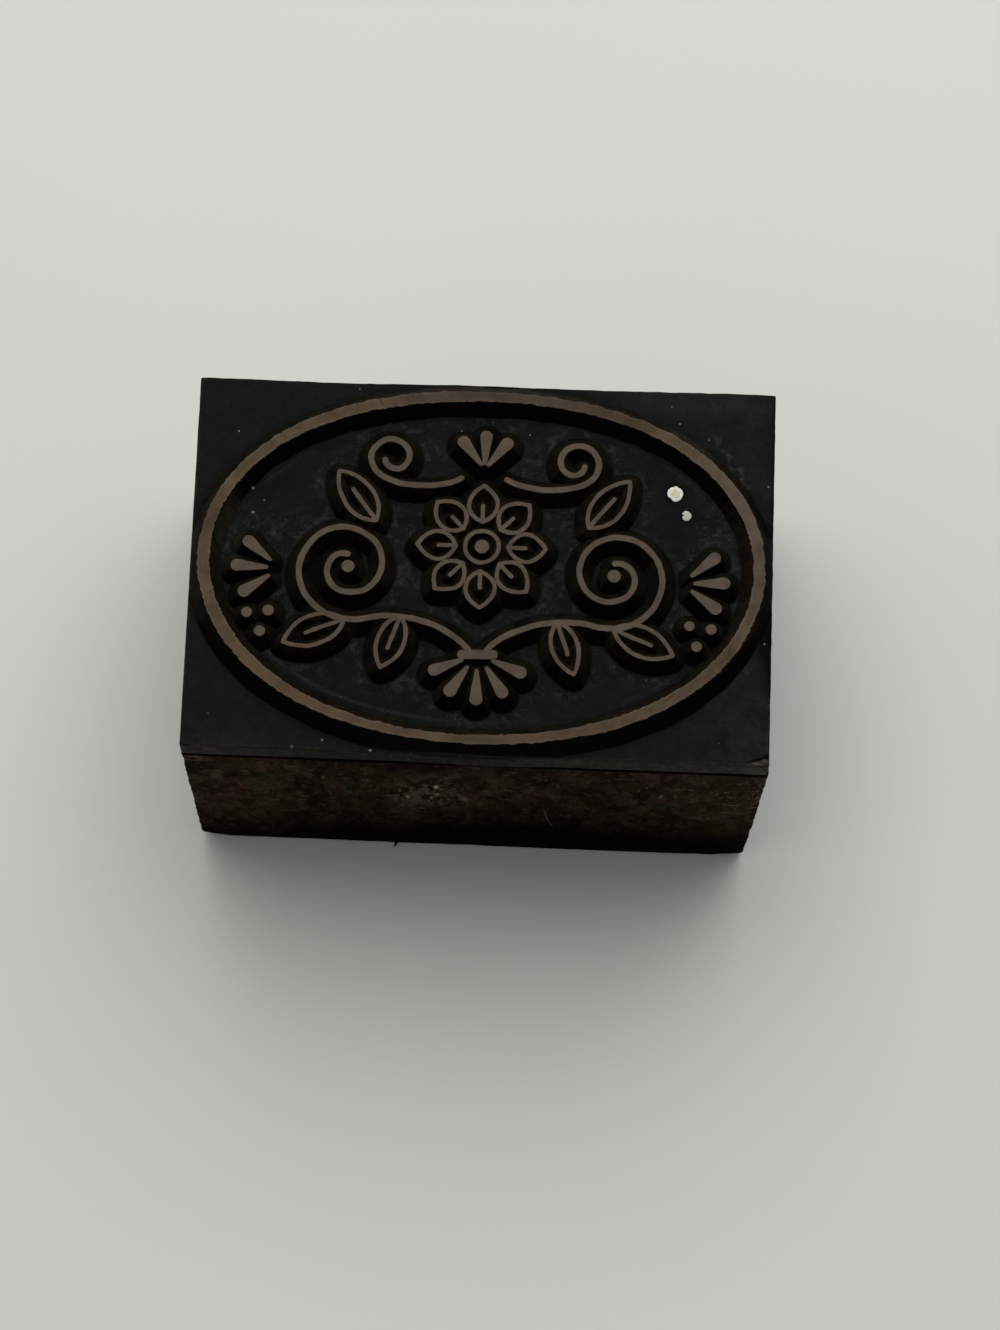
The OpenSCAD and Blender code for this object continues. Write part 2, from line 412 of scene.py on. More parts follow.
def plate_material():
    """Copper, bare only on the printing face, with inked shoulders and a blackened floor; painted shade
    darkens the slopes that face the front and the right edge, and painted sheen pales the floor towards the
    right.
    """
    n = Nodes("etched_copper")
    x, y, z = n.axis("X"), n.axis("Y"), n.axis("Z")
    from_rule = n.attribute("from_rule")
    from_lines = n.attribute("from_lines")
    crowded = n.attribute("crowded")
    broad = n.grain(5.0, 3.0, 0.5)
    hue = n.grain(3.1, 2.0, 0.5)
    blotch = n.grain(1.5, 4.0, 0.55)
    tint = n.grain(1.1, 2.0, 0.5)
    soft = n.grain(0.6, 3.0, 0.5)
    fine = n.grain(0.3, 4.0, 0.65)
    dusty = n.grain(0.2, 5.0, 0.8)

    face_line = n.math("MULTIPLY_ADD", n.math("SUBTRACT", fine, 0.5), 0.04 * MM, z)
    face = n.ramp(face_line, (FACE_Z - 0.035) * MM, (FACE_Z - 0.02) * MM)
    rim = n.ramp(z, (FACE_Z - 0.24) * MM, (FACE_Z - 0.08) * MM)
    on_floor = n.ramp(z, (FLOOR_Z + 0.03) * MM, (FLOOR_Z + 0.09) * MM, 1.0, 0.0)

    copper = n.mix(n.ramp(broad, 0.38, 0.62), (0.062, 0.0445, 0.0275), (0.075, 0.0500, 0.0300))
    greyer = n.any_of(n.patch((18.5, 3.5, FACE_Z), (7.5, 10.0, 3.0), edge=0.2),
                      n.patch((0.5, 11.8, FACE_Z), (8.5, 2.0, 3.0), edge=0.3))
    copper = n.mix(n.both(greyer, 0.8), copper, (0.073, 0.0580, 0.0460))
    rubbed = n.patch((-17.0, -3.5, FACE_Z), (5.0, 9.5, 3.0), edge=0.3)
    copper = n.mix(n.both(rubbed, n.ramp(blotch, 0.3, 0.55), 0.6), copper, (0.084, 0.0550, 0.0330))
    copper = n.mix(n.both(n.attribute("rule_edge"), 0.8), copper, (0.088, 0.0680, 0.0500))
    among_lines = n.ramp(from_rule, -1.0, -0.9, 1.0, 0.0)
    copper = n.mix(n.both(among_lines, 0.85), copper, (0.072, 0.0575, 0.0460))
    copper = n.mix(n.ramp(tint, 0.55, 0.66, 0.0, 0.6), copper, (0.0690, 0.0580, 0.0370))
    copper = n.mix(n.ramp(tint, 0.45, 0.34, 0.0, 0.6), copper, (0.0830, 0.0530, 0.0410))
    copper = n.shade(copper, n.ramp(blotch, 0.36, 0.60, 0.88, 1.10))
    copper = n.shade(copper, n.ramp(fine, 0.34, 0.66, 0.92, 1.08))
    dull = n.any_of(*(n.both(n.patch((px, py, FACE_Z), (rx, ry, 1), edge=0.4), share)
                      for px, py, rx, ry, share in DULL_COPPER))
    copper = n.shade(copper, n.math("SUBTRACT", 1.0, dull))
    warm = n.any_of(n.patch((-12.5, -8.5, FACE_Z), (6.5, 4.5, 1), edge=0.3),
                    n.patch((4.5, -11.4, FACE_Z), (4.5, 1.5, 1), edge=0.3))
    copper = n.mix(n.both(warm, n.ramp(hue, 0.35, 0.55), 0.6), copper, (0.090, 0.0560, 0.0310))
    redder = n.any_of(n.patch((-5.0, -11.4, FACE_Z), (2.6, 1.6, 1), edge=0.3),
                      n.patch((7.2, -10.8, FACE_Z), (5.4, 2.6, 1), edge=0.3))
    copper = n.shade(copper, n.mix(redder, (1.0, 1.0, 1.0), (0.92, 0.84, 0.88)))
    for at_x, at_y, half, turn, share in COPPER_SCRATCHES:
        scratch = n.patch((at_x, at_y, FACE_Z), (half, 0.05, 0.5), turn)
        copper = n.mix(n.both(scratch, share), copper, (0.012, 0.010, 0.008))

    ink = n.mix(n.ramp(broad, 0.40, 0.60), (0.0041, 0.0056, 0.0052), (0.0057, 0.0061, 0.0057))
    ink = n.mix(n.ramp(hue, 0.56, 0.68, 0.0, 0.6), ink, (0.0050, 0.0062, 0.0046))
    ink = n.mix(n.ramp(blotch, 0.42, 0.66, 0.0, 0.7), ink, (0.0072, 0.0081, 0.0076))
    ink = n.mix(n.ramp(from_rule, 0.8, 1.4, 0.0, 0.45), ink, (0.0090, 0.0089, 0.0084))
    # Painted sheen: the ink on the floor paler in blotches towards the right.
    painted_sheen_right = n.both(n.ramp(x, 11 * MM, 19 * MM), n.ramp(blotch, 0.40, 0.58))
    painted_sheen_right = n.both(painted_sheen_right, n.ramp(y, 0, -9 * MM, 0.4, 0.8))
    ink = n.mix(painted_sheen_right, ink, (0.0140, 0.0141, 0.0130))
    paler_ink = n.any_of(*(n.both(n.patch((px, py, FLOOR_Z), (rx, ry, 1), edge=0.3), share)
                           for px, py, rx, ry, share in PALE_INK))
    ink = n.shade(ink, n.math("ADD", 1.0, paler_ink))
    ink = n.shade(ink, n.ramp(soft, 0.34, 0.66, 0.88, 1.12))
    ink = n.shade(ink, n.ramp(fine, 0.30, 0.70, 0.90, 1.10))

    browned = n.ramp(blotch, 0.36, 0.60, 0.30, 0.85)
    shoulder = n.shade(n.mix(browned, ink, (0.0115, 0.0080, 0.0038)), n.ramp(soft, 0.35, 0.65, 0.60, 0.95))
    beside_lines = n.shade((0.0038, 0.0038, 0.0024), n.ramp(blotch, 0.36, 0.62, 0.6, 1.6))
    shoulder = n.mix(n.both(among_lines, 0.85), shoulder, beside_lines)
    paler = n.any_of(n.patch((-16.5, 2.2, FLOOR_Z), (1.6, 4.0, 2.0), edge=0.3),
                     n.patch((13.4, 9.0, FLOOR_Z), (3.2, 2.6, 2.0), edge=0.3))
    shoulder = n.mix(n.both(paler, n.ramp(soft, 0.30, 0.5, 0.5, 0.9)), shoulder, (0.0185, 0.0160, 0.0112))
    outside = n.ramp(from_rule, 0.0, 0.2)
    # Painted shade: the outer slopes at the right side darkened.
    painted_shade_outer_right = n.both(outside, n.ramp(x, 14 * MM, 17 * MM), n.ramp(y, 3 * MM, 6 * MM, 0.8, 0.3))
    shoulder = n.shade(shoulder, n.math("SUBTRACT", 1.0, painted_shade_outer_right))
    # How far each slope turns to the front, for the painted shade below.
    turned = n.math("MULTIPLY_ADD", outside, 0.1, n.attribute("turned_to_foot"))
    shaded = n.ramp(turned, 0.27, 0.55)
    shoulder = n.mix(n.both(rim, 0.45), shoulder, (0.0024, 0.0017, 0.0012))
    reddish = n.both(n.ramp(z, (FACE_Z - 0.4) * MM, (FACE_Z - 0.1) * MM), n.ramp(blotch, 0.50, 0.64))
    shoulder = n.mix(reddish, shoulder, (0.0125, 0.0066, 0.0040))
    # Painted shade: slopes that turn towards the front are darkened to near black, outer slopes a little
    # sooner.
    shoulder = n.mix(n.both(shaded, 0.93), shoulder, (0.0004, 0.0003, 0.0002))
    valley = n.both(crowded, n.ramp(soft, 0.40, 0.62))
    shoulder = n.mix(valley, shoulder, (0.0120, 0.0082, 0.0056))

    near_left = n.both(n.ramp(x, 2 * MM, -5 * MM), n.ramp(y, -0.5 * MM, -4 * MM))
    tide = n.both(n.ramp(from_rule, -1.30, -1.12), n.ramp(from_rule, -1.02, -0.90, 1.0, 0.0))
    tide_seen = n.any_of(near_left, n.both(n.ramp(blotch, 0.46, 0.6), 0.7))
    ink = n.mix(n.both(tide, tide_seen, n.ramp(soft, 0.25, 0.5)), ink, (0.0112, 0.0130, 0.0113))
    ink = n.mix(n.both(tide, tide_seen, n.ramp(dusty, 0.58, 0.68)), ink, (0.050, 0.053, 0.047))
    foot = n.both(n.ramp(from_lines, 0.78, 0.9), n.ramp(from_lines, 1.0, 2.0, 1.0, 0.0))
    zones = (n.patch((px, py, FLOOR_Z), (rx, ry, 0.5), edge=0.2) for px, py, rx, ry in WORN_ZONES)
    worn_zones = n.any_of(*zones)
    smear = n.both(n.any_of(foot, worn_zones), n.ramp(n.grain(1.3, 3.0, 0.6, 1.0), 0.47, 0.63))
    ink = n.mix(n.both(smear, n.ramp(soft, 0.36, 0.6), 0.8), ink, (0.0230, 0.0230, 0.0190))
    flecked = n.both(n.any_of(worn_zones, n.both(foot, 0.6)), n.ramp(dusty, 0.54, 0.66))
    ink = n.mix(n.both(flecked, n.ramp(blotch, 0.38, 0.56)), ink, (0.050, 0.048, 0.041))
    scoured = n.both(n.patch((16.3, 8.2, FLOOR_Z), (3.0, 0.6, 0.6), -57, edge=0.2), n.ramp(soft, 0.46, 0.62))
    ink = n.mix(n.both(scoured, n.ramp(blotch, 0.36, 0.54)), ink, (0.0300, 0.0305, 0.0285))
    faint = n.both(n.specks(1.5, 0.045), n.ramp(n.grain(4.0, 1.0), 0.48, 0.54))
    ink = n.mix(faint, ink, (0.045, 0.046, 0.042))
    halos = (n.patch((at.x, at.y, FLOOR_Z), (d * 0.66, d * 0.66, 0.5), edge=0.8) for at, d, _, _ in PAINT)
    ink = n.mix(n.both(n.any_of(*halos), 0.85), ink, (0.0006, 0.0007, 0.0004))

    body = n.mix(on_floor, shoulder, n.mix(n.both(crowded, 0.8), ink, (0.0105, 0.0078, 0.0054)))
    for px, py, rx, ry, tone in EDGE_TONES:
        beside_edge = n.both(n.patch((px, py, FLOOR_Z), (rx, ry, 1.5), edge=0.5), n.ramp(from_rule, 0.0, 0.1))
        body = n.mix(n.both(beside_edge, 0.9), body, tone)
    # Painted shade: the plate's right edge, where it turns away from the light, and the strip between the
    # rule and the right side, darkened.
    body = n.shade(body, n.ramp(x, 18.85 * MM, 19.0 * MM, 1.0, 0.35))
    painted_shade_right_strip = n.patch((19.0, -3.5, FLOOR_Z), (1.2, 5.5, 2.0), edge=0.4)
    body = n.shade(body, n.math("SUBTRACT", 1.0, n.both(painted_shade_right_strip, 0.75)))

    side_grain = n.grain(1.0, 3.0, 0.55, at=n.stretched(0.9, 0.9, 1.1))
    side_fleck = n.grain(1.0, 3.0, 0.65, at=n.stretched(0.28, 0.28, 0.7))
    cut_edge = n.mix(n.ramp(side_grain, 0.35, 0.65), (0.0085, 0.0080, 0.0058), (0.0175, 0.0162, 0.0122))
    from_middle = n.math("ABSOLUTE", n.math("ADD", x, 3 * MM))
    cut_edge = n.shade(cut_edge, n.ramp(from_middle, 3 * MM, 9 * MM, 0.78, 1.12))
    cut_edge = n.shade(cut_edge, n.ramp(x, 0.0, 6 * MM, 1.0, 1.62))
    blackened = n.patch((-1.0, PLATE_LOW.y, FLOOR_Z + 0.1), (5.0, 1.0, 0.8), edge=0.5)
    cut_edge = n.mix(n.both(blackened, 0.9), cut_edge, (0.0010, 0.0008, 0.0006))
    side_or_back = n.ramp(y, PLATE_LOW.y * MM, (PLATE_LOW.y + 0.3) * MM)
    cut_edge = n.shade(cut_edge, n.ramp(side_fleck, 0.34, 0.66, 0.72, 1.30))
    smudged = n.both(n.ramp(x, -13.5 * MM, -16.5 * MM), n.ramp(side_grain, 0.40, 0.58))
    cut_edge = n.mix(n.both(smudged, 0.8), cut_edge, (0.0360, 0.0270, 0.0230))
    cut_edge = n.mix(n.both(n.ramp(side_fleck, 0.57, 0.68), n.ramp(side_grain, 0.45, 0.6), 0.8), cut_edge,
                     (0.050, 0.043, 0.035))
    cut_edge = n.mix(n.both(side_or_back, 0.5), cut_edge, (0.0165, 0.0152, 0.0118))
    seam = n.ramp(z, (PLATE_Z + 0.02) * MM, (PLATE_Z + 0.1) * MM, 1.0, 0.0)
    cut_edge = n.mix(seam, cut_edge, (0.0002, 0.0002, 0.0001))
    color = n.mix(n.attribute("cut_side"), body, cut_edge)
    color = n.mix(n.both(n.attribute("scuffed"), n.ramp(dusty, 0.40, 0.62)), color, (0.056, 0.052, 0.042))
    specks = (n.both(n.patch((sx, sy, FLOOR_Z), (r, r, 0.4), edge=0.1), white) for sx, sy, r, white in SPECKS)
    color = n.mix(n.any_of(*specks), color, (0.24, 0.24, 0.225))
    crack_at = (CRACK_FROM + CRACK_TO) / 2
    crack_half = (CRACK_TO - CRACK_FROM) / 2
    crack_turn = math.degrees(math.atan2(crack_half.y, crack_half.x))
    crack = n.patch((crack_at.x, crack_at.y, FLOOR_Z), (crack_half.length, 0.13, 0.5), crack_turn, edge=0.45)
    notch = n.patch((19.0, -11.98, FLOOR_Z), (0.55, 0.2, 0.5), crack_turn, edge=0.5)
    crack = n.any_of(crack, notch)
    color = n.mix(crack, color, (0.0003, 0.0003, 0.0002))
    color = n.mix(face, color, copper)

    normal = n.bump(fine, 0.018, 0.5)
    normal = n.bump(blotch, 0.05, 0.4, over=normal)
    roughness = n.math("MULTIPLY_ADD", soft, 0.3, 0.42)
    return n.done(color, roughness, normal, metallic=n.math("MULTIPLY", face, 0.3), specular=0.02)


def wood_material():
    """Dark wood stained with ink, its grain from left to right, scuffed and spattered, and darker towards the
    foot from ink and painted shade.
    """
    n = Nodes("stained_wood")
    x, y, z = n.axis("X"), n.axis("Y"), n.axis("Z")
    behind = n.ramp(y, (WOOD_LOW.y + 0.1) * MM, (WOOD_LOW.y + 0.2) * MM)
    sawn_end = n.attribute("sawn_end")
    place = n.new("ShaderNodeCombineXYZ")
    n.link(n.math("MULTIPLY", x, n.math("MULTIPLY_ADD", behind, -0.5, 1.0)), place.inputs[0])
    n.link(y, place.inputs[1])
    n.link(n.math("MULTIPLY", z, n.math("MULTIPLY_ADD", behind, 1.6, 1.0)), place.inputs[2])

    def pattern(wide, high, detail, roughness=0.5, distortion=0.0):
        at = n.stretched(wide, wide, high, place=place.outputs[0])
        return n.grain(1.0, detail, roughness, distortion, at=at)

    broad = pattern(3.0, 3.4, 2.0)
    mottle = pattern(0.95, 2.2, 3.0, 0.5, 0.6)
    lumps = pattern(0.75, 1.7, 1.0, 0.5, 0.5)
    fibre = pattern(1.0, 0.5, 2.0, 0.5, 0.4)
    flecks = pattern(0.26, 0.6, 3.0, 0.7)
    mauve = pattern(1.9, 2.9, 2.0)
    olive = pattern(2.3, 3.4, 2.0)

    color = n.mix(n.ramp(mottle, 0.38, 0.62), (0.0115, 0.0075, 0.0040), (0.0290, 0.0200, 0.0128))
    in_view = n.math("SUBTRACT", 1.0, n.both(behind, 0.65))
    color = n.mix(n.both(n.ramp(mauve, 0.53, 0.63, 0.0, 0.70), in_view), color, (0.0320, 0.0145, 0.0130))
    color = n.mix(n.both(n.ramp(olive, 0.53, 0.63, 0.0, 0.65), in_view), color, (0.0205, 0.0185, 0.0070))
    color = n.mix(n.both(sawn_end, 0.5), color, (0.0190, 0.0130, 0.0080))
    color = n.shade(color, n.ramp(broad, 0.36, 0.62, 0.74, 1.26))
    color = n.mix(n.ramp(lumps, 0.60, 0.68, 0.0, 0.6), color, (0.048, 0.036, 0.025))
    color = n.mix(n.ramp(lumps, 0.32, 0.40, 0.6, 0.0), color, (0.0055, 0.0038, 0.0020))
    color = n.mix(n.ramp(fibre, 0.63, 0.70, 0.0, 0.8), color, (0.066, 0.051, 0.037))
    color = n.mix(n.ramp(fibre, 0.29, 0.36, 0.85, 0.0), color, (0.0032, 0.0022, 0.0012))
    color = n.shade(color, n.ramp(flecks, 0.34, 0.66, 0.78, 1.28))
    dashes = n.both(n.ramp(pattern(1.5, 0.75, 2.0, 0.6), 0.62, 0.72), n.ramp(flecks, 0.42, 0.56), in_view)
    dashes = n.both(dashes, n.ramp(x, 2 * MM, 6 * MM, 0.15, 0.7), n.ramp(z, 19 * MM, 17 * MM, 0.35, 1.0))
    color = n.mix(dashes, color, (0.095, 0.078, 0.062))
    dim = n.any_of(*(n.both(n.patch((px, WOOD_LOW.y, pz), (rx, 9.0, rz), edge=0.1), share)
                     for px, pz, rx, rz, share in DIM_WOOD))
    color = n.shade(color, n.math("SUBTRACT", 1.0, dim))
    lit = n.any_of(*(n.both(n.patch((px, WOOD_LOW.y, pz), (rx, 4.0, rz), edge=0.1), share)
                     for px, pz, rx, rz, share in LIT_WOOD))
    color = n.shade(color, n.math("ADD", 1.0, lit))
    pale = n.patch((-2.6, WOOD_LOW.y, 13.0), (4.4, 4.0, 5.8), edge=0.1)
    color = n.mix(n.both(pale, n.ramp(mottle, 0.40, 0.58), 0.55), color, (0.056, 0.044, 0.031))
    color = n.mix(n.both(pale, n.ramp(mottle, 0.50, 0.62), 0.5), color, (0.090, 0.073, 0.054))
    color = n.mix(n.both(pale, n.ramp(flecks, 0.57, 0.66), 0.8), color, (0.150, 0.132, 0.108))
    grains = []
    for at_x, at_z, half_x, half_z, white in WOOD_GRAINS:
        grains.append(n.both(n.patch((at_x, WOOD_LOW.y, at_z), (half_x, 3.0, half_z), edge=0.1), white))
    color = n.mix(n.both(n.any_of(*grains), n.ramp(flecks, 0.38, 0.50)), color, (0.420, 0.390, 0.340))
    scuff = n.patch((-18.2, WOOD_LOW.y, 19.2), (1.5, 3.0, 0.9), edge=0.3)
    color = n.mix(n.both(scuff, n.ramp(fibre, 0.40, 0.55), 0.8), color, (0.110, 0.080, 0.062))
    knocked = n.patch((18.9, WOOD_LOW.y, 15.0), (1.0, 3.0, 6.0), edge=0.2)
    color = n.mix(n.both(knocked, n.ramp(flecks, 0.50, 0.60)), color, (0.085, 0.072, 0.058))
    color = n.mix(n.both(knocked, n.ramp(flecks, 0.42, 0.36)), color, (0.0015, 0.0012, 0.0008))

    bend = n.math("MULTIPLY", n.math("POWER", n.math("SUBTRACT", z, 10.2 * MM), 2.0), 0.035 / MM)
    arc_x = n.math("ABSOLUTE", n.math("SUBTRACT", n.math("SUBTRACT", x, 4.9 * MM), bend))

    # Darker towards the foot in a wavy band that rises in the middle: ink taken up by the wood and painted
    # shade together.
    higher = n.patch((3.6, WOOD_LOW.y, 0), (9.5, 9.0, 60.0), edge=0.0)
    soak_and_shade_level = n.math("MULTIPLY_ADD", n.math("SUBTRACT", mottle, 0.5), 3.0 * MM, z)
    soak_and_shade_level = n.math("MULTIPLY_ADD", higher, -4.2 * MM, soak_and_shade_level)
    soak_and_shade_level = n.math("MULTIPLY_ADD", n.ramp(x, 5 * MM, 12 * MM), -2.2 * MM, soak_and_shade_level)
    soak_and_shade_level = n.math("ADD", n.ramp(x, -14.5 * MM, -11.5 * MM, 1.3 * MM, -1.5 * MM), soak_and_shade_level)
    soak_and_shade_level = n.math("ADD", n.ramp(x, -3.0 * MM, 1.5 * MM, 0.0, 1.5 * MM), soak_and_shade_level)
    soak_and_shade_level = n.math("MULTIPLY_ADD", behind, 1.0 * MM, soak_and_shade_level)
    soak_and_shade_tint = n.mix(n.ramp(soak_and_shade_level, 2.0 * MM, 10.0 * MM), (0.42, 0.41, 0.33), (1.0, 1.0, 1.0))
    color = n.shade(color, soak_and_shade_tint)
    color = n.mix(n.ramp(soak_and_shade_level, 1.0 * MM, 4.8 * MM, 0.97, 0.0), color, (0.0013, 0.0012, 0.0004))
    top = WOOD_HIGH.z
    near_top = n.ramp(z, (top - 4) * MM, (top - 1) * MM)
    lighter_left = n.ramp(x, -15 * MM, -9 * MM, 0.12, 0.0)
    color = n.shade(color, n.math("MULTIPLY_ADD", near_top, lighter_left, 1.0))
    arc = n.both(n.ramp(arc_x, 0.03 * MM, 0.10 * MM, 1.0, 0.0), n.patch((5.1, WOOD_LOW.y, 8.0), (2, 2, 2.4)))
    color = n.mix(n.both(arc, 0.75), color, (0.070, 0.064, 0.050))
    line = n.math("MULTIPLY_ADD", behind, -0.2 * MM, z)

    across = n.new("ShaderNodeCombineXYZ")
    n.link(y, across.inputs[1])
    n.link(z, across.inputs[2])
    from_heart = n.new("ShaderNodeVectorMath", operation="DISTANCE")
    n.link(across.outputs[0], from_heart.inputs[0])
    from_heart.inputs[1].default_value = Vector((0, -21, -17)) * MM
    wavy = n.math("MULTIPLY_ADD", n.grain(5.0, 2.0), 2.0 * MM, from_heart.outputs["Value"])
    ring = n.math("SINE", n.math("MULTIPLY", wavy, math.tau / (1.7 * MM)))
    pores = n.both(n.specks(0.45, 0.34), n.ramp(ring, -0.2, 0.8))
    end_grain = n.shade(color, n.ramp(ring, -1.0, 1.0, 1.22, 0.72))
    end_grain = n.mix(n.both(pores, 0.7), end_grain, (0.0030, 0.0021, 0.0012))
    color = n.mix(sawn_end, color, end_grain)
    seam = n.ramp(line, (top - 0.42) * MM, (top - 0.26) * MM, 0.0, 0.97)
    color = n.mix(seam, color, (0.0003, 0.0002, 0.0002))

    normal = n.bump(mottle, 0.16, 0.7)
    normal = n.bump(flecks, 0.05, 0.7, over=normal)
    return n.done(color, n.ramp(fibre, 0.3, 0.7, 0.6, 0.9), normal, specular=0.004)


def film_material():
    n = Nodes("adhesive_film")
    patch = n.grain(0.6, 3.0)
    color = n.mix(n.ramp(patch, 0.4, 0.7), (0.0003, 0.0003, 0.0003), (0.0009, 0.0007, 0.0005))
    return n.done(color, 0.75, n.bump(patch, 0.03), specular=0.004)


def paint_material():
    """Dried cream paint: yellowish in the middle, chalky at the rim, with grey wrinkles."""
    n = Nodes("dried_paint")
    patch = n.grain(0.35, 3.0, 0.6)
    wrinkle = n.grain(1.0, 3.0, 0.6, 0.6, at=n.stretched(0.5, 0.16, 0.4, turn=-40))
    rim = n.attribute("rim")
    color = n.mix(n.ramp(patch, 0.35, 0.65), (0.52, 0.51, 0.34), (0.62, 0.61, 0.45))
    color = n.mix(n.both(n.ramp(rim, 0.5, 0.75), n.ramp(patch, 0.3, 0.5)), color, (0.74, 0.74, 0.68))
    color = n.mix(n.ramp(wrinkle, 0.42, 0.34, 0.0, 0.75), color, (0.27, 0.275, 0.21))
    smaller = n.patch((PAINT[1][0].x, PAINT[1][0].y, FLOOR_Z), (0.6, 0.6, 1.0), edge=0.9)
    color = n.mix(n.both(smaller, 0.55), color, (0.29, 0.325, 0.285))
    color = n.mix(n.ramp(rim, 0.88, 1.0, 0.0, 0.85), color, (0.05, 0.05, 0.045))
    return n.done(color, 0.55, n.bump(patch, 0.04, 0.8), specular=0.25)


def studio_floor_material():
    """Pale grey, very slightly uneven."""
    n = Nodes("pale_floor")
    darker = tuple(0.985 * c for c in FLOOR_COLOR)
    color = n.mix(n.ramp(n.grain(30.0, 2.0), 0.3, 0.7, 0.0, 0.5), FLOOR_COLOR, darker)
    return n.done(color, 0.8, n.bump(n.grain(0.9, 3.0), 0.02, 0.3), specular=0.1)


# The plate's design


class Design:
    """The raised lines of the plate, each kept as a row of round points with its width."""

    def __init__(self):
        self.rows = []

    def line(self, points, width):
        """A line, drawn again with steps short enough to look smooth."""
        row = [points[0]]
        for a, b in zip(points, points[1:]):
            n = max(1, math.ceil((b - a).length / LINE_STEP))
            row += [a + (b - a) * (i + 1) / n for i in range(n)]
        self.rows.append([(p, width) for p in row])

    def dot(self, at, width):
        self.rows.append([(at, width)])

    def drop(self, at, angle):
        self.rows.append([(at, FINE_W), (at + polar(DROP_L, angle), DROP_W)])

    def fan(self, at, facing, count, step, inner):
        for i in range(count):
            angle = facing + (i - (count - 1) / 2) * step
            self.drop(at + polar(inner, angle), angle)

    def leaf(self, at, angle, length=LEAF_L, bulge=0.31, midrib=0.62):
        tip = at + polar(length, angle)
        steps = max(7, round(length / LINE_STEP))
        for side in (bulge, -bulge):
            handles = (at, beside(at, tip, 0.2, side), beside(at, tip, 0.7, side), tip)
            self.line(curve(handles, steps), FINE_W)
        self.line([at, beside(at, tip, midrib, 0)], FINE_W)

    def rosette(self):
        petal_in = HEART_R + 0.6
        petal_l = ROSETTE_R - petal_in
        petal_half = 0.8 * (petal_in + petal_l * 0.6) * math.sin(math.pi / PETALS)
        self.dot(ROSETTE_AT, HEART_R * 0.85)
        self.line(spiral(ROSETTE_AT, HEART_R, HEART_R, 0, 1, 26), FINE_W)
        for i in range(PETALS):
            angle = 90 + 360 * i / PETALS
            self.leaf(ROSETTE_AT + polar(petal_in, angle), angle, petal_l, petal_half / petal_l * 1.3, 0.45)

    def crown_and_fan(self):
        self.fan(CROWN_AT, 90, 3, 38, 0.4)
        self.fan(TIE_AT, -90, 5, 34, 1.1)
        self.line([TIE_AT - Vector((TIE_HALF, 0)), TIE_AT + Vector((TIE_HALF, 0))], DROP_W * 0.75)

    def scroll_half(self):
        start = SCROLL_EYE + polar(SCROLL_R, SCROLL_START)
        inwards = math.degrees(math.atan((SCROLL_R - SCROLL_EYE_R) / (SCROLL_R * math.tau * SCROLL_TURNS)))
        heading = SCROLL_START + 90 + inwards
        leave = TIE_AT + Vector((TIE_HALF * 0.4, 0))
        stem = curve((leave, leave + Vector((1, 1.8)), start - polar(2.6, heading), start), 28)
        scroll = spiral(SCROLL_EYE, SCROLL_R, SCROLL_EYE_R, SCROLL_START, SCROLL_TURNS, 78)
        self.line(stem, STEM_W)
        self.line(scroll, STEM_W)
        self.dot(SCROLL_EYE, DROP_W)
        self.leaf(scroll[3], -24)
        self.leaf(stem[20], -72, LEAF_L * 0.88)
        self.leaf(SCROLL_EYE + polar(SCROLL_R, 118), 52)

    def spray_half(self):
        self.fan(SPRAY_AT, 2, 3, 38, 0.9)
        for berry in ((0, 0), (1.4, -0.2), (0.5, -1.4)):
            self.dot(BERRIES_AT + Vector(berry), DROP_W * 0.85)

    def tendril_half(self):
        leave = CROWN_AT + Vector((1.5, -0.7))
        start = CURL_EYE + Vector((CURL_R, 0))
        handles = (leave, leave + Vector((1.4, -1)), start - Vector((0, CURL_R * 1.5)), start)
        self.line(curve(handles, 24), STEM_W)
        self.line(spiral(CURL_EYE, CURL_R, CURL_R * 0.4, 0, 0.95, 28), STEM_W)

    def mirror_from(self, first):
        """Repeats the rows from a given one on, to the left."""
        for row in self.rows[first:]:
            self.rows.append([(Vector((-p.x, p.y)), width) for p, width in row])


def draw_design():
    design = Design()
    design.rosette()
    design.crown_and_fan()
    middle_rows = len(design.rows)
    design.scroll_half()
    design.spray_half()
    design.tendril_half()
    design.mirror_from(middle_rows)
    return design.rows


def nib_rings(width):
    """Radius and height of each ring of the mark that a round point leaves."""
    root_z = FLOOR_Z - ROOT
    root_r = width / 2 + SHOULDER_RUN * (1 + ROOT / ETCH_DEPTH)
    return ((root_r, root_z), (width / 2 + EDGE_R * 0.3, FACE_Z - EDGE_R), (width / 2 - EDGE_R * 0.4, FACE_Z))


def add_nib(shape, at, width):
    for r, z in nib_rings(width):
        for k in range(NIB_SIDES):
            p = at + polar(r, 360 * (k + 0.5) / NIB_SIDES)
            shape.verts.new((p.x, p.y, z))


def uneven(width, p):
    """A line's width where the etch has eaten it a little more or less."""
    return width * (1 + 0.08 * rough(p.x, p.y, size=0.7, seed=3)) + 0.045 * rough(p.x, p.y, size=0.35, seed=8)


def hand_drawn(p):
    """A point of a line, moved a little as a hand would."""
    return p + Vector((0.06 * rough(p.x, p.y, size=1.1, seed=12), 0.06 * rough(p.x, p.y, size=1.1, seed=15)))


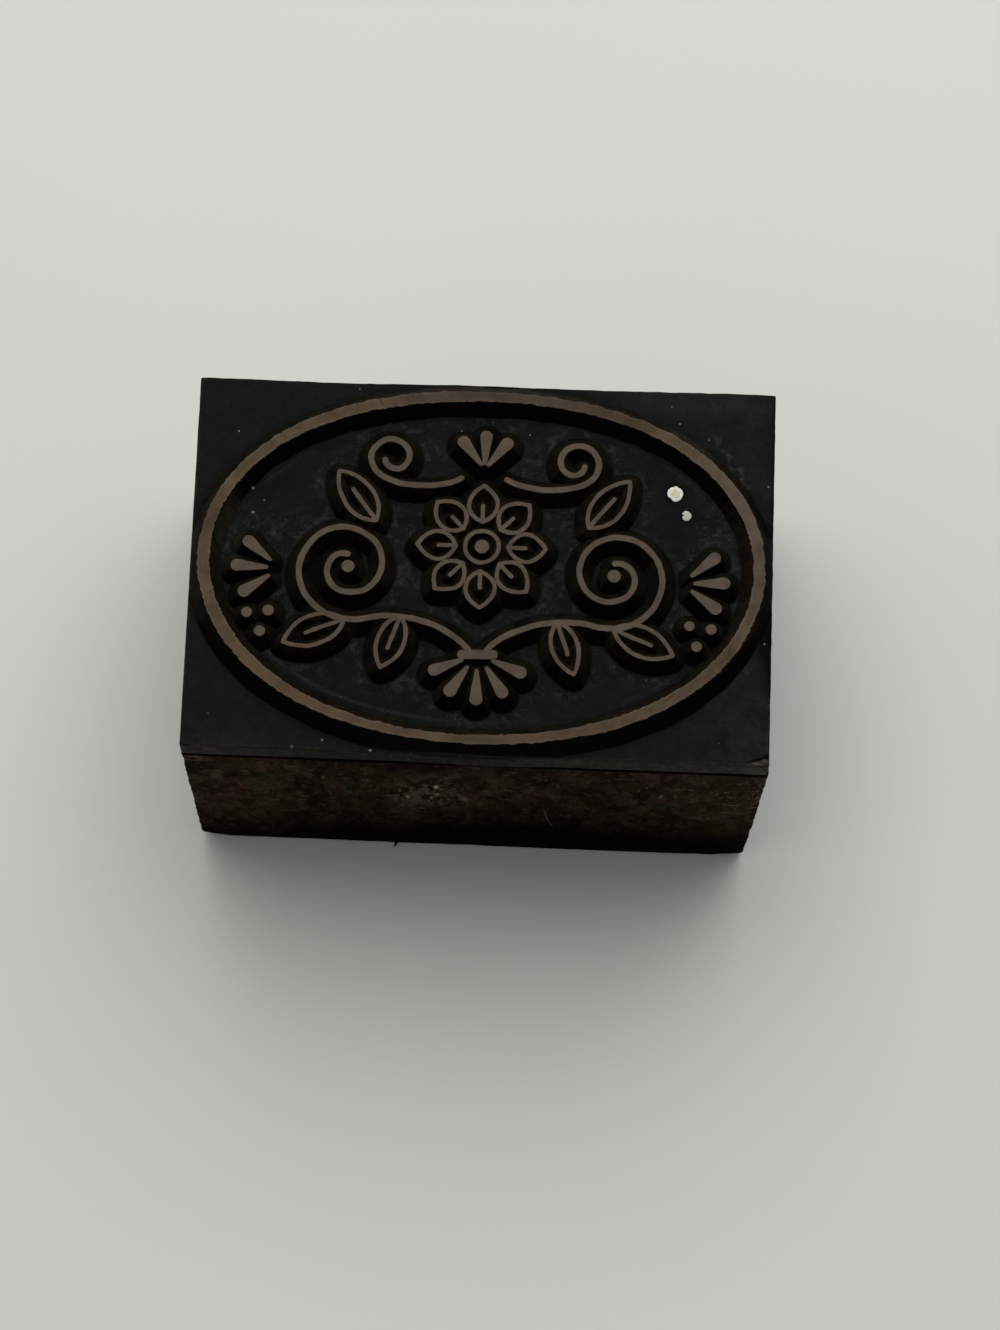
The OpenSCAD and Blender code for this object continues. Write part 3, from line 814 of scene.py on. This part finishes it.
def raised_lines(rows):
    """One closed solid for each step of each line, all in one collection."""
    strokes = bpy.data.collections.new("strokes")
    bpy.context.scene.collection.children.link(strokes)
    for row in rows:
        for a, b in zip(row, row[1:] or row):
            shape = bmesh.new()
            for p, width in (a, b) if a is not b else (a,):
                add_nib(shape, hand_drawn(p), uneven(width, p))
            hull = bmesh.ops.convex_hull(shape, input=shape.verts)
            inside = [v for v in hull["geom_interior"] if isinstance(v, bmesh.types.BMVert)]
            bmesh.ops.delete(shape, geom=inside, context="VERTS")
            mesh = bpy.data.meshes.new("stroke")
            shape.to_mesh(mesh)
            shape.free()
            strokes.objects.link(bpy.data.objects.new("stroke", mesh))
    return strokes


def fullness(a):
    """How far the hand-drawn oval stands outside a true one, at an angle along it."""
    return (0.11 - 0.136 * math.cos(4 * a) + 0.033 * (math.cos(a) - math.sin(a)) + 0.046 * math.sin(2 * a)
            + 0.069 * math.sin(3 * a))


def broader(a):
    """How much wider than its mean the hand-drawn rule is, at an angle along it."""
    return (0.03 * math.sin(a) + 0.05 * math.cos(2 * a) - 0.02 * math.sin(3 * a) - 0.037 * math.cos(4 * a)
            + 0.036 * math.sin(4 * a))


def ragged_edge(a, side, down):
    """The bite of the etch along one edge of the rule, with half of what makes the rule broader there."""
    at = (math.cos(a) * RULE_OUT.x, math.sin(a) * RULE_OUT.y, side)
    half_broader = broader(a) * (0.5 if side == RULE_OUT.x else -0.5)
    bite = (1 - down) ** 2 * (0.055 * rough(*at, 0.38, 5) + 0.04 * rough(*at, 1.1, 2))
    at_the_lip = max(0.0, 1 - 5 * down)
    bite += at_the_lip * 0.05 * rough(*at, 0.17, 13)
    return half_broader + bite + down * 0.13 * rough(*at, 1.3, 9)


def oval_rule(strokes):
    """The oval rule: a ring whose section has a soft-edged flat top on sloping shoulders."""
    sides = 720
    spread = SHOULDER_RUN * (1 + ROOT / ETCH_DEPTH)
    low = FLOOR_Z - ROOT
    middle = FACE_Z - ETCH_DEPTH / 2
    outer_half = (
        (spread, low, 1.0),
        (SHOULDER_RUN / 2, middle, 0.5),
        (SHOULDER_RUN * 0.12, FACE_Z - ETCH_DEPTH * 0.12, 0.25),
        (EDGE_R * 0.3, FACE_Z - EDGE_R, 0.0),
        (-EDGE_R * 0.4, FACE_Z, 0.0),
        (-RULE_RIM, FACE_Z, 0.0),
    )
    section = [(RULE_OUT, out, z, down) for out, z, down in outer_half]
    section += [(RULE_IN, -out, z, down) for out, z, down in reversed(outer_half)]
    shape = bmesh.new()
    loops = []
    for half_axes, out, z, down in section:
        loop = []
        for i in range(sides):
            a = math.tau * i / sides
            spread_to_foot = 0.2 * down * min(1.0, max(0.0, -2 * math.sin(a))) if out > 0 else 0.0
            shift = out + fullness(a) + ragged_edge(a, half_axes.x, down) + spread_to_foot
            x = (half_axes.x + shift) * math.cos(a)
            y = (half_axes.y + shift) * math.sin(a)
            loop.append(shape.verts.new((x, y, z)))
        loops.append(loop)
    for k, loop in enumerate(loops):
        following = loops[(k + 1) % len(loops)]
        for i in range(sides):
            j = (i + 1) % sides
            shape.faces.new((loop[i], loop[j], following[j], following[i]))
    bmesh.ops.recalc_face_normals(shape, faces=shape.faces)
    mesh = bpy.data.meshes.new("rule")
    shape.to_mesh(mesh)
    shape.free()
    strokes.objects.link(bpy.data.objects.new("rule", mesh))


def back_shift(x):
    """How far the plate's sawn back edge, which is a little wavy, stands beyond the true rectangle."""
    mean, gain = PLATE_BACK
    return mean + gain * x / BLOCK_L + (0.05 if x < 4 else 0.02) * math.cos(math.tau * (x + 1) / 18)


def crack_side(x, y):
    """Distance past the little crack across the front right corner, positive towards the corner."""
    along = (CRACK_TO - CRACK_FROM).normalized()
    across = Vector((along.y, -along.x))
    return (Vector((x, y)) - CRACK_FROM).dot(across) + 0.05 * rough(x, y, size=0.5, seed=6)


def floor_height(x, y):
    """The etched floor: faintly wavy and pitted, with a few dents."""
    z = FLOOR_Z + 0.012 * rough(x, y, size=2.5, seed=1) + 0.008 * rough(x, y, size=0.8, seed=4)
    z += 0.004 * rough(x, y, size=0.3, seed=9)
    for at, size, turn, depth in FLOOR_DENTS:
        d = Matrix.Rotation(-math.radians(turn), 2) @ (Vector((x, y)) - Vector(at))
        z -= depth * math.exp(-((d.x / size[0]) ** 2) - (d.y / size[1]) ** 2)
    if x > CRACK_FROM.x and y < 0:
        past = crack_side(x, y)
        z -= 0.09 * math.exp(-((past / 0.12) ** 2)) + (0.05 if past > 0 else 0.0)
    return z


def plate_floor():
    """A slab wider than the plate, whose top is the etched floor."""
    step = 0.25
    over = 1.0
    clear_selection()
    length, depth = BLOCK_L + 2 * over, BLOCK_D + 2 * over
    bpy.ops.mesh.primitive_grid_add(x_subdivisions=round(length / step), y_subdivisions=round(depth / step),
                                    size=1, location=(0, 0, FLOOR_Z))
    slab = bpy.context.object
    slab.scale = (length, depth, 1)
    bpy.ops.object.transform_apply(location=True, rotation=False, scale=True)
    for v in slab.data.vertices:
        v.co.z = floor_height(v.co.x, v.co.y)
    bpy.ops.object.mode_set(mode="EDIT")
    bpy.ops.mesh.select_all(action="SELECT")
    bpy.ops.mesh.extrude_region_move(TRANSFORM_OT_translate={"value": (0, 0, PLATE_Z - FLOOR_Z - over)})
    bpy.ops.mesh.select_all(action="SELECT")
    bpy.ops.mesh.normals_make_consistent(inside=False)
    bpy.ops.object.mode_set(mode="OBJECT")
    return slab


def layered_block(half, corner_r, heights, cell):
    """An upright block with rounded corners, whose sides are a grid of cells, one row to each height."""
    clear_selection()
    bpy.ops.mesh.primitive_plane_add(size=1, location=(0, 0, heights[0]))
    block = bpy.context.object
    block.scale = (2 * half.x, 2 * half.y, 1)
    bpy.ops.object.transform_apply(location=True, rotation=False, scale=True)
    bpy.ops.object.mode_set(mode="EDIT")
    bpy.ops.mesh.select_all(action="SELECT")
    bpy.ops.mesh.bevel(offset=corner_r, segments=4, affect="VERTICES")
    bpy.ops.object.mode_set(mode="OBJECT")
    outline = bmesh.new()
    outline.from_mesh(block.data)
    for edge in [e for e in outline.edges if e.calc_length() > 2 * cell]:
        bmesh.ops.subdivide_edges(outline, edges=[edge], cuts=round(edge.calc_length() / cell) - 1)
    outline.to_mesh(block.data)
    outline.free()
    bpy.ops.object.mode_set(mode="EDIT")
    bpy.ops.mesh.select_all(action="SELECT")
    for low, high in zip(heights, heights[1:]):
        bpy.ops.mesh.extrude_region_move(TRANSFORM_OT_translate={"value": (0, 0, high - low)})
    bpy.ops.mesh.select_all(action="SELECT")
    bpy.ops.mesh.normals_make_consistent(inside=False)
    bpy.ops.object.mode_set(mode="OBJECT")
    return block


def plate_blank():
    """The sawn outline of the plate, with its sides a little uneven and its upper edge worn."""
    rows = 9
    heights = [PLATE_Z + (FLOOR_Z - 0.2 - PLATE_Z) * i / rows for i in range(rows + 1)]
    heights += [FLOOR_Z - 0.13, FLOOR_Z - 0.07, FLOOR_Z - 0.02, FLOOR_Z + 0.1, FLOOR_Z + 0.4, FACE_Z + 1]
    half = Vector((BLOCK_L / 2, BLOCK_D / 2))
    blank = layered_block(half, 0.12, heights, 0.25)
    for v in blank.data.vertices:
        x, y, z = v.co
        worn = max(0.0, 1 - max(0.0, FLOOR_Z - z) / 0.2)
        corner = max(0.0, 1 - (half.x - abs(x)) / 0.7) * max(0.0, 1 - (half.y - abs(y)) / 0.7)
        bite = 0.02 + 0.02 * rough(x, y, z, 1.3, 6) + 0.015 * rough(x, y, z, 0.45, 2)
        bite += worn * (0.045 + 0.03 * rough(x, y, 0, 0.9, 3)) + 0.05 * corner * worn
        if x > CRACK_FROM.x and y < 0 and crack_side(x, y) > -0.2:
            bite += 0.05 * worn
        if abs(x) > half.x - 0.13:
            mean, gain = PLATE_RIGHT if x > 0 else PLATE_LEFT
            v.co.x += outward(x) * (mean + gain * y / BLOCK_D - bite)
        if abs(y) > half.y - 0.13:
            v.co.y -= outward(y) * bite
        if y > 0:
            v.co.y += back_shift(x) * y / half.y
        else:
            v.co.y += PLATE_FRONT_FULL * math.exp(-(((x - 1) / 3.5) ** 2)) * y / half.y
    return blank


def rule_distance(x, y):
    """Distance from the rule's face in millimetres: positive outside the oval, negative inside it."""
    a = math.atan2(y / RULE_OUT.y, x / RULE_OUT.x)
    full = fullness(a)
    for half, sign in ((RULE_OUT, 1), (RULE_IN, -1)):
        ax, ay = half.x + full, half.y + full
        g = math.hypot(x / ax, y / ay)
        slope = math.hypot(x / ax**2, y / ay**2) or 1.0
        d = (g - 1) * g / slope
        if d * sign > 0:
            return d
    return 0.0


def from_edge(x, y):
    """Distance inwards from the sawn outline of the plate."""
    mean, gain = PLATE_RIGHT if x > 0 else PLATE_LEFT
    to_side = BLOCK_L / 2 + mean + gain * y / BLOCK_D - abs(x)
    return min(to_side, BLOCK_D / 2 + (back_shift(x) if y > 0 else 0.0) - abs(y))


def rule_rim(x, y):
    """1 at an edge of the rule's face and 0 from the rim inwards."""
    a = math.atan2(y / RULE_OUT.y, x / RULE_OUT.x)
    full = fullness(a)
    half = (RULE_OUT + RULE_IN) / 2
    g = math.hypot(x / (half.x + full), y / (half.y + full))
    slope = math.hypot(x / (half.x + full) ** 2, y / (half.y + full) ** 2) or 1.0
    to_edge = (RULE_W + broader(a)) / 2 - abs((g - 1) * g / slope)
    return min(1.0, max(0.0, 1 - to_edge / RULE_RIM)) if to_edge > -0.2 else 0.0


def mark_plate(mesh, rows):
    """Attributes for the material: distances from the rule and from the lines, crowding, wear, and how far
    each face turns to the front, for painted shade.
    """
    marks = [(p, width) for row in rows for p, width in row]
    tree = kdtree.KDTree(len(marks))
    for i, (p, _) in enumerate(marks):
        tree.insert((p.x, p.y, 0), i)
    tree.balance()
    names = ("from_rule", "rule_edge", "from_lines", "crowded", "cut_side", "scuffed")
    values = {name: [] for name in names}
    for v in mesh.vertices:
        x, y, z = v.co
        _, i, distance = tree.find((x, y, 0))
        edge = from_edge(x, y)
        values["from_rule"].append(rule_distance(x, y))
        values["rule_edge"].append(rule_rim(x, y))
        values["from_lines"].append(distance - marks[i][1] / 2)
        values["crowded"].append(min(1.0, max(0.0, (len(tree.find_range((x, y, 0), 0.95)) - 8) / 8)))
        values["cut_side"].append(1.0 if edge < 0.17 and z < FLOOR_Z - 0.04 else 0.0)
        corner = 1.0 if x > CRACK_FROM.x + 0.4 and y < 0 and crack_side(x, y) > 0.06 else 0.0
        arris = min(1.0, max(0.0, 1 - edge / 0.2)) * max(0.0, 1 - abs(z - FLOOR_Z) / 0.12)
        if x > 18:
            arris *= 0.5 if y < -8 else 0.0
        else:
            arris *= (0.34 if x > 5 or x < -9 else 0.2) * min(1.0, max(0.0, rule_distance(x, y) - 0.4))
        values["scuffed"].append(max(corner, arris))
    for name, list_of_values in values.items():
        layer = mesh.attributes.new(name, "FLOAT", "POINT")
        layer.data.foreach_set("value", list_of_values)
    # How far each face turns to the front, read by the material for painted shade on the slopes.
    slopes = mesh.attributes.new("turned_to_foot", "FLOAT", "FACE")
    slopes.data.foreach_set("value", [max(0.0, -face.normal.y) for face in mesh.polygons])


def make_plate():
    rows = draw_design()
    strokes = raised_lines(rows)
    oval_rule(strokes)
    plate = plate_floor()
    apply_modifier(plate, "BOOLEAN", operation="UNION", solver="MANIFOLD", operand_type="COLLECTION",
                   collection=strokes)
    blank = plate_blank()
    apply_modifier(plate, "BOOLEAN", operation="INTERSECT", solver="MANIFOLD", object=blank)
    bpy.data.objects.remove(blank)
    for stroke in list(strokes.objects):
        bpy.data.objects.remove(stroke)
    bpy.data.collections.remove(strokes)
    mark_plate(plate.data, rows)
    finish_piece(plate, "printing_plate", plate_material(), 38)
    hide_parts("etched_plate")
    return plate


# Wood, film and paint


def make_wood():
    """The mount, built up in layers, so that its sides can be worn and grooved."""
    layers = 66
    half = Vector((WOOD_HIGH.x, WOOD_HIGH.y))
    rise = WOOD_HIGH.z - WOOD_LOW.z
    heights = [WOOD_LOW.z + rise * i / layers for i in range(layers + 1)]
    wood = layered_block(half, WOOD_EDGE_R, heights, 0.3)
    for v in wood.data.vertices:
        x, y, z = v.co
        up = (z - WOOD_LOW.z) / rise
        front_right = max(0.0, 1 - (half.x - x) / 2.4) * max(0.0, 1 - (half.y + y) / 1.6)
        foot_r = FOOT_EDGE_R * (0.6 + 0.3 * rough(x, y, 0, 5, 7) + 1.5 * max(0.0, 1 - (x + half.x) / 2.0)
                                + 1.3 * front_right)
        lift = max(0.0, foot_r - (z - WOOD_LOW.z))
        inward = foot_r - math.sqrt(max(0.0, foot_r**2 - lift**2))
        grooves = 0.03 * abs(rough(x / 5, y / 5, z, 0.5, 11)) + 0.05 * max(0.0, rough(x, y, z, 1.7, 4))
        corner = max(0.0, 1 - (half.x - abs(x)) / 0.8) * max(0.0, 1 - (half.y - abs(y)) / 0.8)
        bite = grooves + 0.06 * corner * max(0.0, 0.4 + rough(x, y, z, 1.1, 9))
        bite += 0.16 * corner * max(0.0, rough(x, y, z, 0.45, 21))
        pull = inward + bite + 0.06 * front_right * max(0.0, 1 - 2 * up)
        if abs(x) > half.x - WOOD_EDGE_R - 1e-4:
            mean, gain = WOOD_RIGHT if x > 0 else WOOD_LEFT
            v.co.x += outward(x) * (mean + gain * (up - 0.5) - pull)
        if abs(y) > half.y - WOOD_EDGE_R - 1e-4:
            mean, gain = WOOD_FRONT_AT_FOOT
            proud = (mean + gain * x / BLOCK_L) * (1 - up) + WOOD_FRONT_AT_TOP * up
            if y > 0:
                proud = back_shift(x) - 0.04
            v.co.y += outward(y) * (proud - pull)
    splinter = make_splinter()
    make_active(wood)
    splinter.select_set(True)
    bpy.ops.object.join()
    sawn_ends = wood.data.attributes.new("sawn_end", "FLOAT", "FACE")
    sawn_ends.data.foreach_set("value", [float(abs(face.normal.x) > 0.8) for face in wood.data.polygons])
    finish_piece(wood, "wooden_mount", wood_material(), 40)
    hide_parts("wood_block")
    return wood


def make_splinter():
    """A sliver that stands off the front of the foot."""
    clear_selection()
    bpy.ops.mesh.primitive_cone_add(vertices=6, radius1=0.22, radius2=0.02, depth=0.75,
                                    location=(-5.28, -12.8, 0.18))
    splinter = bpy.context.object
    bpy.ops.object.transform_apply(location=False, rotation=False, scale=True)
    splinter.rotation_euler = (math.radians(97), 0, math.radians(-22))
    bpy.ops.object.transform_apply(location=True, rotation=True, scale=True)
    return splinter


def make_film():
    """The adhesive, squeezed out unevenly between the wood and the plate."""
    half = Vector((BLOCK_L / 2 - 0.08, BLOCK_D / 2 - 0.08))
    middle = (FILM_LOW.z + FILM_HIGH.z) / 2
    film = layered_block(half, 0.1, (FILM_LOW.z, middle, FILM_HIGH.z), 0.3)
    for v in film.data.vertices:
        x, y, z = v.co
        bulge = 0.012 if abs(z - middle) < 1e-4 else 0.0
        squeeze = 0.02 * rough(x, y, 0, 0.9, 3) + bulge
        if abs(x) > half.x - 0.11:
            v.co.x += outward(x) * squeeze
        if abs(y) > half.y - 0.11:
            v.co.y += outward(y) * squeeze
    finish_piece(film, "adhesive_film", film_material())
    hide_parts("mounting_film")
    return film


def make_paint():
    """Two dried spots of paint, low domes with an uneven, nicked rim."""
    thick = SPOTS_HIGH.z - SPOTS_LOW.z
    made = []
    for at, d, seed, nicks in PAINT:
        clear_selection()
        bpy.ops.mesh.primitive_uv_sphere_add(segments=72, ring_count=24, radius=1, location=(0, 0, 0))
        spot = bpy.context.object
        rim = []
        for v in spot.data.vertices:
            x, y, z = v.co
            rim.append(min(1.0, math.hypot(x, y)))
            wide = 1 + 0.07 * rough(x, y, 0, 0.6, seed)
            for angle, spread, depth in nicks:
                off = (math.degrees(math.atan2(y, x)) - angle + 180) % 360 - 180
                wide -= depth * math.exp(-((off / spread) ** 2))
            lumps = 0.16 * rough(x, y, 0, 0.4, seed + 4) * max(0.0, z)
            dome = math.copysign(abs(z) ** 1.2, z)
            height = max(-0.1, (dome + lumps) * thick * 0.85)
            v.co = (at.x + x * wide * d / 2, at.y + y * wide * d / 2, FLOOR_Z + height)
        layer = spot.data.attributes.new("rim", "FLOAT", "POINT")
        layer.data.foreach_set("value", rim)
        made.append(spot)
    make_active(made[0])
    made[1].select_set(True)
    bpy.ops.object.join()
    paint = bpy.context.object
    finish_piece(paint, "paint_dabs", paint_material(), 60)
    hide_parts("paint_spots")
    return paint


# Stage, light and camera


def make_stage():
    clear_selection()
    bpy.ops.mesh.primitive_plane_add(size=3, location=(0, 0, 0))
    floor = bpy.context.object
    floor.name = "studio_floor"
    floor.data.materials.append(studio_floor_material())


def make_lights():
    """One broad lamp above and behind the block, and a pale surround that is brighter behind it."""
    world = bpy.data.worlds.new("pale_surround")
    bpy.context.scene.world = world
    world.use_nodes = True
    tree = world.node_tree
    surround = tree.nodes["Background"]
    surround.inputs["Color"].default_value = (0.985, 1.0, 0.96, 1)
    place = tree.nodes.new("ShaderNodeTexCoord")
    towards = tree.nodes.new("ShaderNodeVectorMath")
    towards.operation = "DOT_PRODUCT"
    towards.inputs[1].default_value = SURROUND_SLOPE
    level = tree.nodes.new("ShaderNodeMath")
    level.operation = "MULTIPLY_ADD"
    level.inputs[1].default_value = SURROUND_LEVEL
    level.inputs[2].default_value = SURROUND_LEVEL
    tree.links.new(place.outputs["Generated"], towards.inputs[0])
    tree.links.new(towards.outputs["Value"], level.inputs[0])
    tree.links.new(level.outputs[0], surround.inputs["Strength"])
    shown = tree.nodes.new("ShaderNodeBackground")
    shown.inputs["Color"].default_value = (*FLOOR_COLOR, 1)
    path = tree.nodes.new("ShaderNodeLightPath")
    seen = path.outputs["Is Camera Ray"]
    for kind in ("Is Glossy Ray", "Is Transmission Ray"):
        either = tree.nodes.new("ShaderNodeMath")
        either.operation = "MAXIMUM"
        tree.links.new(seen, either.inputs[0])
        tree.links.new(path.outputs[kind], either.inputs[1])
        seen = either.outputs[0]
    choose = tree.nodes.new("ShaderNodeMixShader")
    tree.links.new(seen, choose.inputs[0])
    tree.links.new(surround.outputs[0], choose.inputs[1])
    tree.links.new(shown.outputs[0], choose.inputs[2])
    tree.links.new(choose.outputs[0], tree.nodes["World Output"].inputs["Surface"])

    lamp_data = bpy.data.lights.new("soft_lamp", "AREA")
    lamp_data.shape = "RECTANGLE"
    lamp_data.size, lamp_data.size_y = LAMP_SIZE
    lamp_data.energy = LAMP_POWER
    lamp = bpy.data.objects.new("soft_lamp", lamp_data)
    bpy.context.scene.collection.objects.link(lamp)
    up, turn = math.radians(LAMP_ELEVATION), math.radians(LAMP_TURN)
    towards_lamp = Vector((math.sin(turn) * math.cos(up), math.cos(turn) * math.cos(up), math.sin(up)))
    lamp.location = LAMP_DISTANCE * towards_lamp
    lamp.rotation_euler = (-lamp.location).to_track_quat("-Z", "Y").to_euler()


def make_camera():
    data = bpy.data.cameras.new("camera")
    data.lens = 101.08
    data.sensor_width = 36
    camera = bpy.data.objects.new("camera", data)
    bpy.context.scene.collection.objects.link(camera)
    camera.location = Vector((1.279, -79.605, 252.915)) * MM
    camera.rotation_euler = [math.radians(a) for a in (17.5711, -0.7046, 2.0673)]
    bpy.context.scene.camera = camera


make_camera()
make_stage()
make_lights()
make_plate()
make_wood()
make_film()
make_paint()
bpy.context.scene.view_settings.view_transform = "Standard"
